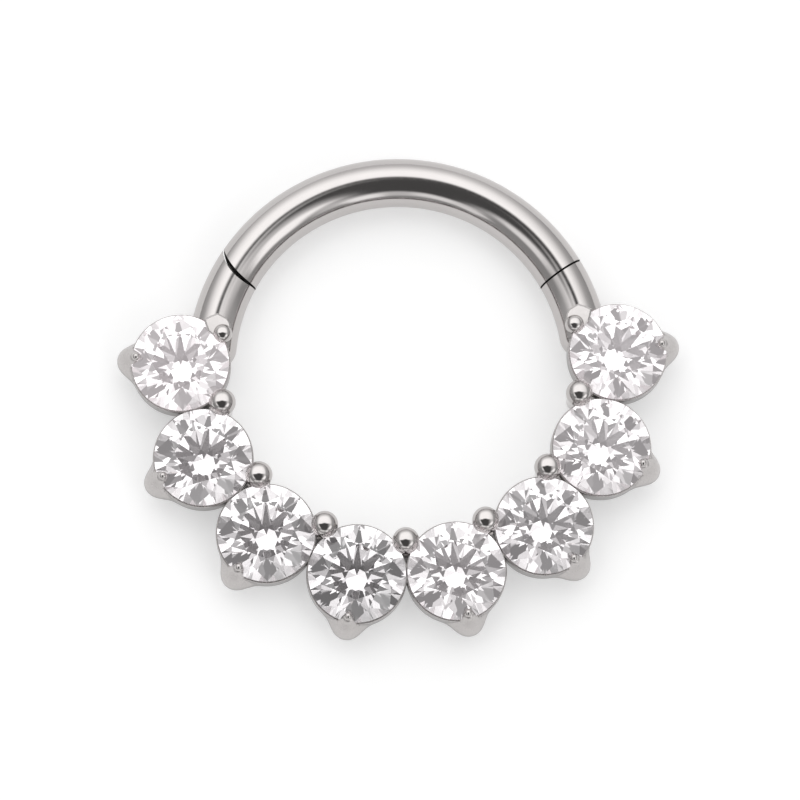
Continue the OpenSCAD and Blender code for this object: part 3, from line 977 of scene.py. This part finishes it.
def calc(op, a, b=None):
    """A math node on values or other nodes' outputs."""
    n = nodes.new("ShaderNodeMath")
    n.operation = op
    for k, v in enumerate((a, b)):
        if isinstance(v, (int, float)):
            n.inputs[k].default_value = v
        elif v is not None:
            links.new(v, n.inputs[k])
    return n.outputs[0]


def smooth(value, e0, e1, lo, hi):
    """lo below e0, hi above e1, smooth between them."""
    return map_range(nodes, links, value, (e0, e1), (lo, hi), "SMOOTHSTEP")


def patch(u, v, half_u, half_v, soft, turn=0.0):
    """1 inside a soft-edged box of the flat sky, 0 outside it."""
    c, s = math.cos(math.radians(turn)), math.sin(math.radians(turn))
    du, dv = calc("SUBTRACT", sky_u, u), calc("SUBTRACT", sky_v, v)
    a = calc("ABSOLUTE", calc("ADD", calc("MULTIPLY", du, c), calc("MULTIPLY", dv, s)))
    b = calc("ABSOLUTE", calc("SUBTRACT", calc("MULTIPLY", dv, c), calc("MULTIPLY", du, s)))
    across, along = smooth(a, half_u, half_u + soft, 1.0, 0.0), smooth(b, half_v, half_v + soft, 1.0, 0.0)
    return calc("MULTIPLY", across, along)


def blend(base, mask, value):
    """base where mask is 0, value where it is 1."""
    keep = calc("MULTIPLY", base, calc("SUBTRACT", 1.0, mask))
    return calc("ADD", keep, calc("MULTIPLY", mask, value))


split = nodes.new("ShaderNodeSeparateXYZ")
links.new(nodes.new("ShaderNodeTexCoord").outputs["Generated"], split.inputs[0])
sky_x, sky_y, sky_z = split.outputs
# the sky laid out flat, in degrees from overhead: u to the right, v to the far side
DEGREES = 180 / math.pi
tilt = calc("MULTIPLY", calc("ARCCOSINE", sky_z), DEGREES)
level = calc("SQRT", calc("ADD", calc("MULTIPLY", sky_x, sky_x), calc("MULTIPLY", sky_y, sky_y)))
level = calc("MAXIMUM", level, 1e-4)
sky_u = calc("MULTIPLY", tilt, calc("DIVIDE", sky_x, level))
sky_v = calc("MULTIPLY", tilt, calc("DIVIDE", sky_y, level))
azimuth = calc("MULTIPLY", calc("ARCTAN2", sky_y, sky_x), DEGREES)

# the far side, dimmer to the left and right, with one big soft box high up
light = smooth(calc("ABSOLUTE", calc("ADD", sky_u, 3.0)), 30.0, 75.0, 0.84, 0.50)
light = blend(light, patch(-5.0, 30.0, 12.0, 8.0, 45.0), 1.80)
# the near side, behind the camera, with a band of light above its horizon
near_side = smooth(sky_v, -16.0, 4.0, 1.0, 0.0)
light = blend(light, near_side, 0.85)
light = blend(light, calc("MULTIPLY", near_side, smooth(tilt, 40.0, 60.0, 0.0, 1.0)), 0.40)
band = calc("MULTIPLY", smooth(calc("ABSOLUTE", calc("SUBTRACT", tilt, 65.0)), 6.0, 17.0, 1.0, 0.0),
            smooth(calc("ABSOLUTE", calc("ADD", azimuth, 90.0)), 30.0, 42.0, 1.0, 0.0))
light = blend(light, band, 0.85)
# small soft boxes there: middle u and v, half width and height, soft edge, turn, brightness
SOFT_BOXES = ((18.0, -69.0, 5.0, 5.0, 9.0, 0.0, 1.45),
              (-17.0, -60.0, 6.0, 6.0, 9.0, 0.0, 1.25),
              (-36.0, -62.0, 4.0, 4.0, 8.0, 0.0, 1.15),
              (41.0, -32.0, 9.0, 8.0, 14.0, -20.0, 1.75),
              (-34.0, -22.0, 6.0, 4.0, 11.0, 30.0, 1.30))
for u, v, half_u, half_v, soft, turn, value in SOFT_BOXES:
    light = blend(light, patch(u, v, half_u, half_v, soft, turn), value)
# the dark camera side, straight overhead and towards the camera
light = blend(light, patch(-4.0, -25.0, 14.0, 22.0, 14.0), 0.10)
light = blend(light, patch(-1.0, 3.0, 2.0, 8.0, 11.0), 0.10)
# only what misses the floor sees the sky below the horizon
light = blend(light, smooth(tilt, 90.0, 96.0, 0.0, 1.0), 0.9)
links.new(light, nodes["Background"].inputs["Strength"])
nodes["Background"].inputs["Color"].default_value = (1.0, 1.0, 1.0, 1.0)

scene.view_settings.view_transform = "Standard"
scene.view_settings.look = "None"
